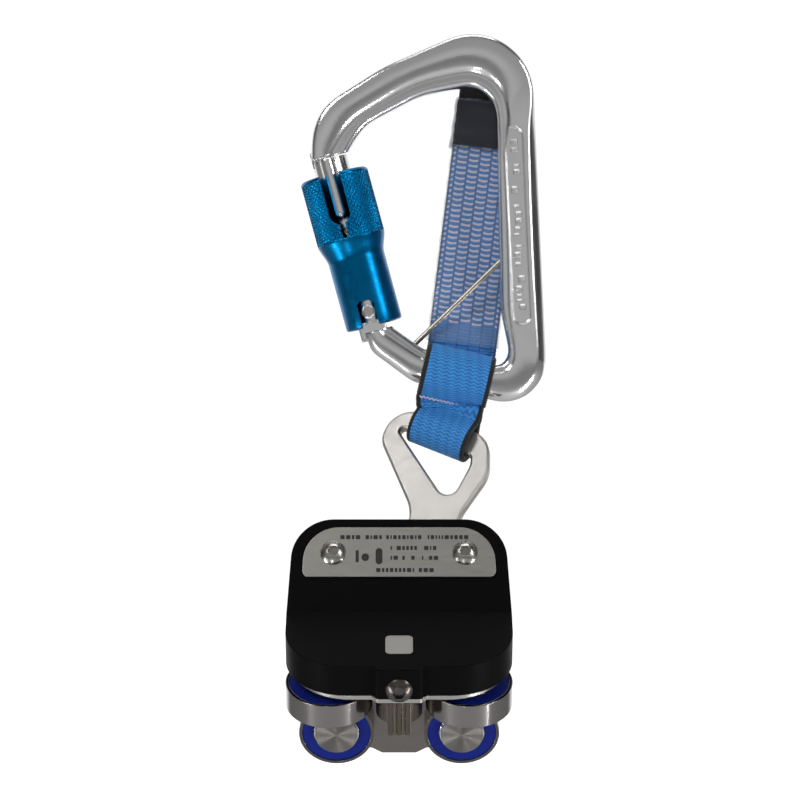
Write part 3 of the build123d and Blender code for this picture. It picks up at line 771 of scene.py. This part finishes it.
def resample(stations, step):
    """Even steps round a closed path, with the cross axis and width carried along and smoothed."""
    total = [0.0]
    count = len(stations)
    for i in range(count):
        total.append(total[-1] + (stations[(i + 1) % count][0] - stations[i][0]).length)
    amount = int(round(total[-1] / step))
    result = []
    k = 0
    for n in range(amount):
        s = total[-1] * n / amount
        while total[k + 1] < s:
            k += 1
        t = (s - total[k]) / max(1e-9, total[k + 1] - total[k])
        a, b = stations[k], stations[(k + 1) % count]
        result.append([a[0].lerp(b[0], t), a[1].lerp(b[1], t), a[2] + (b[2] - a[2]) * t])
    for _ in range(10):
        smooth = []
        for i in range(amount):
            rows = [result[i - 1], result[i], result[(i + 1) % amount]]
            smooth.append([sum((r[0] for r in rows), Vector()) / 3, sum((r[1] for r in rows), Vector()) / 3,
                           sum(r[2] for r in rows) / 3])
        result = smooth
    return result, total[-1] / amount


def band_section(half, thick, cells):
    """(across, height, face) round the section: face is 1 in front, -1 behind and 0 at the rims."""
    section = []
    for sign, order in ((1, range(cells + 1)), (-1, range(cells, -1, -1))):
        for j in order:
            across = half * (2 * j / cells - 1)
            inset = half - abs(across)
            bulge = 1.0 if inset > 1.0 else math.sqrt(max(0.0, 1 - (1 - inset) ** 2))
            if inset < 1e-6:
                if sign < 0:
                    continue
                bulge = 0.0
            section.append((across, sign * thick / 2 * bulge, sign * min(1.0, inset / 1.4)))
    return section


def chevron(across, along):
    """Height of the woven rows, from 0 to 1, in step with the woven material."""
    zigzag = triangle(across / (2 * RIB))
    return triangle(along / ROW + zigzag * ZIGZAG)


def connector_strap():
    """Woven band round the lower bar and the lever's eye."""
    stations, step = resample(strap_path(), 0.28)
    count = len(stations)
    width = len(band_section(1.0, STRAP_THICK, STRAP_CELLS))
    points, uv = [], []
    for i, (centre, cross, half) in enumerate(stations):
        tangent = (stations[(i + 1) % count][0] - stations[i - 1][0]).normalized()
        cross = (cross - tangent * cross.dot(tangent)).normalized()
        normal = cross.cross(tangent).normalized()
        along = i * step
        wave = along * 2 * math.pi / PICK
        ripple = 0.22 * math.sin(wave)
        for across, height, face in band_section(half, STRAP_THICK, STRAP_CELLS):
            relief = 0.13 * face * (chevron(across, along) - 0.6)
            edge = max(0.0, abs(across) - half + 2.0) / 2.0
            spread = math.copysign(ripple * edge, across)
            selvedge = math.copysign(0.16 * edge * math.sin(wave + 1.2), height)
            points.append(centre + cross * (across + spread) + normal * (height + relief + selvedge))
            uv.append((across * UPPER_HALF / half, along))
    paint = woven("strap_weave", (0.034, 0.27, 0.68), (0.004, 0.05, 0.21), (0.003, 0.003, 0.0035),
                  UPPER_HALF)
    return piece("strap_webbing", points, tube_faces(count, width, True), paint, "webbing",
                 ("connector_strap",), uv)


def capsule(start, end, radius, sides=8, steps=6):
    """Rounded short rod as (points, faces)."""
    axis = (end - start).normalized()
    side = axis.cross(Vector((0.3, 1, 0.2))).normalized()
    other = axis.cross(side)
    points, faces = [], []
    rows = []
    for i in range(1, steps):
        t = i / steps
        bulge = math.sin(math.pi * t) ** 0.5
        centre = start.lerp(end, t)
        rows.append(len(points))
        for j in range(sides):
            a = 2 * math.pi * j / sides
            points.append(centre + (side * math.cos(a) + other * math.sin(a)) * radius * bulge)
    for a, b in zip(rows, rows[1:]):
        faces += [(a + j, a + (j + 1) % sides, b + (j + 1) % sides, b + j) for j in range(sides)]
    points += [start, end]
    first, last = len(points) - 2, len(points) - 1
    faces += [(first, rows[0] + (j + 1) % sides, rows[0] + j) for j in range(sides)]
    faces += [(last, rows[-1] + j, rows[-1] + (j + 1) % sides) for j in range(sides)]
    return points, faces


def gather(parts):
    points, faces = [], []
    for more, shape in parts:
        base = len(points)
        points += more
        faces += [tuple(base + k for k in face) for face in shape]
    return points, faces


def strap_stitching():
    """Zigzag bar of pale thread across the strap's waist, on both sides."""
    draw = random.Random(7)
    stitches, half = 30, 10.9
    base, top = -10.9, -9.9
    parts = []
    for side in (-1, 1):
        for k in range(stitches):
            x = half * (2 * k / (stitches - 1) - 1)
            low, high = base + draw.uniform(-0.12, 0.12), top + draw.uniform(-0.12, 0.12)
            y = side * 2.25
            lean = 0.45 if k % 2 else -0.45
            start = LOOP @ Vector((x - lean, y, low))
            end = LOOP @ Vector((x + lean, y, high))
            parts.append(capsule(start, end, 0.3))
    points, faces = gather(parts)
    return piece("strap_stitch_bar", points, faces, thread_paint(), "webbing",
                 ("strap_stitching",))


# ---- tear webbing pack ----------------------------------------------------------------------------
PACK_BASE, PACK_STEP, PACK_BEND, PACK_THICK = 5.3, 5.6, 24.0, 6.6


def pack_middle(z):
    return PACK_BASE + PACK_STEP * smoothstep(z, -2.0, PACK_BEND + 2.0)


def pack_layer(offset, thick, low, high, half, wavy, relief):
    """One layer of the folded webbing as (points, faces, uv)."""
    rows = int((high - low) / 0.3)
    points, uv = [], []
    section = band_section(half, thick, 84)
    for i in range(rows + 1):
        z = low + (high - low) * i / rows
        end = min(i, rows - i)
        close = min(1.0, 0.25 + end * 0.25)
        ripple = wavy * math.sin(z * 2 * math.pi / 2.6)
        for across, height, face in section:
            edge = max(0.0, abs(across) - half + 2.0) / 2.0
            bump = 0.0
            if relief and height > 0:
                inside = across / COLUMN + 0.5
                column, part = math.floor(inside), inside - math.floor(inside)
                phase = z / DASH + 0.5 * (column % 2) - ARCH * (part - 0.5) ** 2
                groove = smoothstep(abs(part - 0.5), 0.5, 0.4)
                bump = relief * (triangle(phase) * groove - 0.5)
            y = pack_middle(z) + offset - (height * close + bump)
            x = across + math.copysign(ripple * edge, across)
            points.append(PACK @ Vector((x, y, z)))
            uv.append((across, z))
    width = len(section)
    faces = tube_faces(rows + 1, width, False)
    faces += [tuple(range(width)), tuple(range(rows * width, (rows + 1) * width))]
    return points, faces, uv


def tear_pack():
    parts, uv = [], []
    for offset, relief, wavy in ((-2.2, 0.34, 0.18), (0.0, 0.0, 0.12), (2.2, 0.0, 0.18)):
        points, faces, places = pack_layer(offset, 2.15, PACK_LOW, PACK_TOP, PACK_HALF, wavy, relief)
        parts.append((points, faces))
        uv += places
    points, faces = gather(parts)
    return piece("tear_webbing_layers", points, faces, tear_webbing(), "webbing",
                 ("tear_webbing_pack",), uv)


def tube_section(half, deep, corner, count=6):
    """Rounded rectangle round the pack, as (x, y) offsets."""
    points = []
    for cx, cy, start in ((1, 1, 0), (-1, 1, 90), (-1, -1, 180), (1, -1, 270)):
        for i in range(count + 1):
            a = math.radians(start + 90 * i / count)
            points.append((cx * (half - corner) + corner * math.cos(a),
                           cy * (deep - corner) + corner * math.sin(a)))
    return points


def film_tube(name, low, high, grow, thick, flare, paint, replaced):
    """Closed thin walled tube round the pack, a little loose at its lower end."""
    rows = int((high - low) / 1.0)
    outer, inner = [], []
    for i in range(rows + 1):
        z = low + (high - low) * i / rows
        loose = flare * math.exp(-(z - low) / 6.0) + 0.12 * math.sin(z * 0.9)
        for ring, extra in ((outer, 0.0), (inner, -thick)):
            size = grow + loose + extra
            section = tube_section(PACK_HALF + size, PACK_THICK / 2 + 0.35 + size * 0.8, 1.9)
            ring.append([PACK @ Vector((x, pack_middle(z) + y, z)) for x, y in section])
    rings = outer + list(reversed(inner))
    width = len(rings[0])
    points = [p for ring in rings for p in ring]
    return piece(name, points, tube_faces(len(rings), width, True), paint, "webbing", replaced)


def pack_covers():
    """Clear sleeve, smoky end band, and dark tape under the band."""
    film_tube("clear_sleeve_film", 0.3, CLEAR_TOP, 0.75, 0.3, 0.25, clear_film(),
              ("clear_sleeve",))
    film_tube("end_band_film", BAND_LOW, BAND_TOP, 1.25, 0.35, 0.35, smoky_film(),
              ("end_band",))
    rows, wrap = 18, []
    for i in range(rows + 1):
        z = 71.6 + 16.2 * i / rows
        swell = 0.35 + 0.1 * math.sin(z * 1.7)
        section = tube_section(PACK_HALF + swell, PACK_THICK / 2 + 0.2 + swell, 1.6)
        wrap += [PACK @ Vector((x, pack_middle(z) + y, z)) for x, y in section]
    width = len(tube_section(1, 1, 0.1))
    faces = tube_faces(rows + 1, width, False)
    faces += [tuple(range(width)), tuple(range(rows * width, (rows + 1) * width))]
    piece("end_tape_wrap", wrap, faces, dark_tape(), "webbing")


# ---- marks ----------------------------------------------------------------------------------------
def rounded_bar(place, x, y, wide, tall, low, high, corner):
    """Small raised pad on a face."""
    corner = min(corner, wide / 2.01, tall / 2.01)
    outline = []
    for cx, cy, start in ((1, 1, 0), (-1, 1, 90), (-1, -1, 180), (1, -1, 270)):
        for i in range(4):
            a = math.radians(start + 30 * i)
            outline.append((x + cx * (wide / 2 - corner) + corner * math.cos(a),
                            y + cy * (tall / 2 - corner) + corner * math.sin(a)))
    count = len(outline)
    points = [place @ Vector((px, py, z)) for z in (low, high) for px, py in outline]
    faces = [tuple(range(count)), tuple(range(count, 2 * count))]
    faces += [(i, (i + 1) % count, (i + 1) % count + count, i + count) for i in range(count)]
    return points, faces


def mark_row(place, draw, x0, x1, y, tall, low, high, gaps=0.12):
    """A row of short bars of mixed widths, in place of a printed line."""
    parts = []
    x = x0
    while x < x1:
        wide = draw.choice((0.55, 0.9, 1.2, 1.5))
        if draw.random() > gaps:
            parts.append(rounded_bar(place, x + wide / 2, y, wide, tall, low, high, 0.25))
        x += wide + 0.5
    return parts


def label_marks():
    """Plain bars and three plain pads where the label is printed."""
    draw = random.Random(11)
    low, high = 0.78, 0.84
    parts = mark_row(LABEL, draw, -20.5, 24.0, 27.6, 1.5, low, high)
    parts += mark_row(LABEL, draw, -3.0, 12.5, 23.6, 1.5, low, high)
    parts += mark_row(LABEL, draw, -3.0, 13.5, 20.0, 1.5, low, high)
    parts += mark_row(LABEL, draw, -8.0, 11.0, 15.5, 1.5, low, high)
    parts.append(rounded_bar(LABEL, -14.6, 20.6, 1.1, 4.4, low, high, 0.3))
    parts.append(rounded_bar(LABEL, -11.8, 20.2, 2.6, 2.8, low, high, 1.2))
    parts.append(rounded_bar(LABEL, -7.0, 20.6, 2.4, 6.0, low, high, 1.2))
    points, faces = gather(parts)
    return piece("label_marks", points, faces, etched_black(), "chassis", (), smooth=False)


def panel_marks():
    """Small raised bars in the recessed panel of the spine."""
    draw = random.Random(5)
    panel = PANEL_MIDDLE @ turn(90, "X") @ turn(PANEL_TILT, "Z")
    parts = []
    y = -30.0
    while y < 30.0:
        tall = draw.choice((0.8, 1.4, 2.0, 2.6))
        if draw.random() > 0.15:
            aside = draw.choice((-0.5, 0.0, 0.5))
            parts.append(rounded_bar(panel, aside, y + tall / 2, 2.6, tall, 4.9, 5.28, 0.35))
        y += tall + 1.0
    points, faces = gather(parts)
    return piece("panel_marks", points, faces, polished_aluminium(), "carabiner", (),
                 smooth=False)


# ---- studio ---------------------------------------------------------------------------------------
def studio_light(name, place, target, size, power, colour=(1, 1, 1)):
    data = bpy.data.lights.new(name, "AREA")
    data.shape = "RECTANGLE"
    data.size, data.size_y = size
    data.energy = power
    data.color = colour
    light = bpy.data.objects.new(name, data)
    bpy.context.scene.collection.objects.link(light)
    light.location = place
    light.rotation_euler = (Vector(target) - Vector(place)).to_track_quat("-Z", "Y").to_euler()
    light.visible_camera = False


def sky():
    """White room behind and above, greyer towards the front and dark below."""
    world = bpy.data.worlds.new("studio")
    bpy.context.scene.world = world
    world.use_nodes = True
    tree = world.node_tree
    nodes, links = tree.nodes, tree.links
    nodes.clear()

    def math_node(operation, *values):
        node = nodes.new("ShaderNodeMath")
        node.operation = operation
        for socket, value in zip(node.inputs, values):
            if isinstance(value, bpy.types.NodeSocket):
                links.new(value, socket)
            else:
                socket.default_value = value
        return node.outputs[0]

    def ramp(value, *stops):
        node = nodes.new("ShaderNodeValToRGB")
        node.color_ramp.interpolation = "EASE"
        elements = node.color_ramp.elements
        while len(elements) < len(stops):
            elements.new(0.5)
        for element, (place, shade) in zip(elements, stops):
            element.position = place
            element.color = (shade, shade, shade, 1)
        links.new(value, node.inputs[0])
        return node.outputs[0]

    split = nodes.new("ShaderNodeSeparateXYZ")
    links.new(nodes.new("ShaderNodeTexCoord").outputs["Generated"], split.inputs[0])
    x, y, z = split.outputs
    back = math_node("MULTIPLY_ADD", y, 0.5, 0.5)
    depth = ramp(back, (0.0, 0.52), (0.22, 0.3), (0.42, 0.06), (0.58, 0.12), (0.74, 0.9))
    height = ramp(math_node("MULTIPLY_ADD", z, 0.5, 0.5),
                  (0.05, 0.1), (0.35, 0.15), (0.5, 1.0), (0.62, 0.7), (0.85, 0.7))
    front = math_node("MULTIPLY", depth, height)
    whole = ramp(back, (0.72, 0.0), (0.84, 1.0))
    mixed = math_node("ADD", math_node("MULTIPLY", front, math_node("SUBTRACT", 1.0, whole)),
                      math_node("MULTIPLY", 1.05, whole))
    background = nodes.new("ShaderNodeBackground")
    links.new(mixed, background.inputs["Color"])
    background.inputs["Strength"].default_value = 1.0
    output = nodes.new("ShaderNodeOutputWorld")
    links.new(background.outputs[0], output.inputs[0])


def make_floor():
    """Pale floor well below the hanging object, glowing white in the distance."""
    mesh = bpy.data.meshes.new("floor")
    half, level = 6.0, -0.62
    corners = [(x * half, y * half, level) for x, y in ((-1, -1), (1, -1), (1, 1), (-1, 1))]
    mesh.from_pydata(corners, [], [(0, 1, 2, 3)])
    floor = bpy.data.objects.new("floor", mesh)
    bpy.context.scene.collection.objects.link(floor)
    paint = Paint("pale_floor", (0.62, 0.62, 0.62), 0.0, 0.8, Specular_IOR_Level=0.1)
    paint.set("Emission Color", (1, 1, 1, 1))
    glow = paint.node("ShaderNodeMapRange", interpolation_type="SMOOTHSTEP")
    paint.feed(glow.inputs["Value"], paint.component((0, 1, 0)))
    glow.inputs["From Min"].default_value = 900.0
    glow.inputs["From Max"].default_value = 2300.0
    glow.inputs["To Max"].default_value = 1.0
    paint.feed(paint.shader.inputs["Emission Strength"], glow.outputs[0])
    mesh.materials.append(paint.material)


def make_camera():
    data = bpy.data.cameras.new("camera")
    distance, half_field = 1.1, 0.1428
    data.sensor_fit = "HORIZONTAL"
    data.angle = 2 * math.atan(half_field / distance)
    data.clip_start, data.clip_end = 0.05, 50.0
    camera = bpy.data.objects.new("camera", data)
    camera.location = (-0.0221, -distance, -0.111)
    camera.rotation_euler = (math.radians(90), 0, 0)
    bpy.context.scene.collection.objects.link(camera)
    bpy.context.scene.camera = camera


def make_studio():
    bpy.context.scene.view_settings.view_transform = "Standard"
    sky()
    make_floor()
    make_camera()
    middle = (-0.02, 0, -0.12)
    studio_light("key", (-0.75, -0.85, 0.75), middle, (0.3, 0.6), 8)
    studio_light("fill", (0.95, -0.75, 0.35), middle, (0.2, 0.7), 5)
    studio_light("top", (0.0, -0.1, 1.0), middle, (0.8, 0.4), 4)
    studio_light("low_left", (-0.5, -0.25, -0.5), (-0.04, -0.05, -0.22), (0.03, 0.3), 1.3)
    studio_light("low_right", (0.42, -0.2, -0.5), (0.0, -0.05, -0.22), (0.03, 0.3), 1.3)
    studio_light("low_front", (-0.12, -0.5, -0.58), (-0.02, -0.03, -0.23), (0.03, 0.25), 0.5)


paint_nodes()
carabiner_frame()
locking_sleeve()
connector_strap()
strap_stitching()
tear_pack()
pack_covers()
label_marks()
panel_marks()
make_studio()
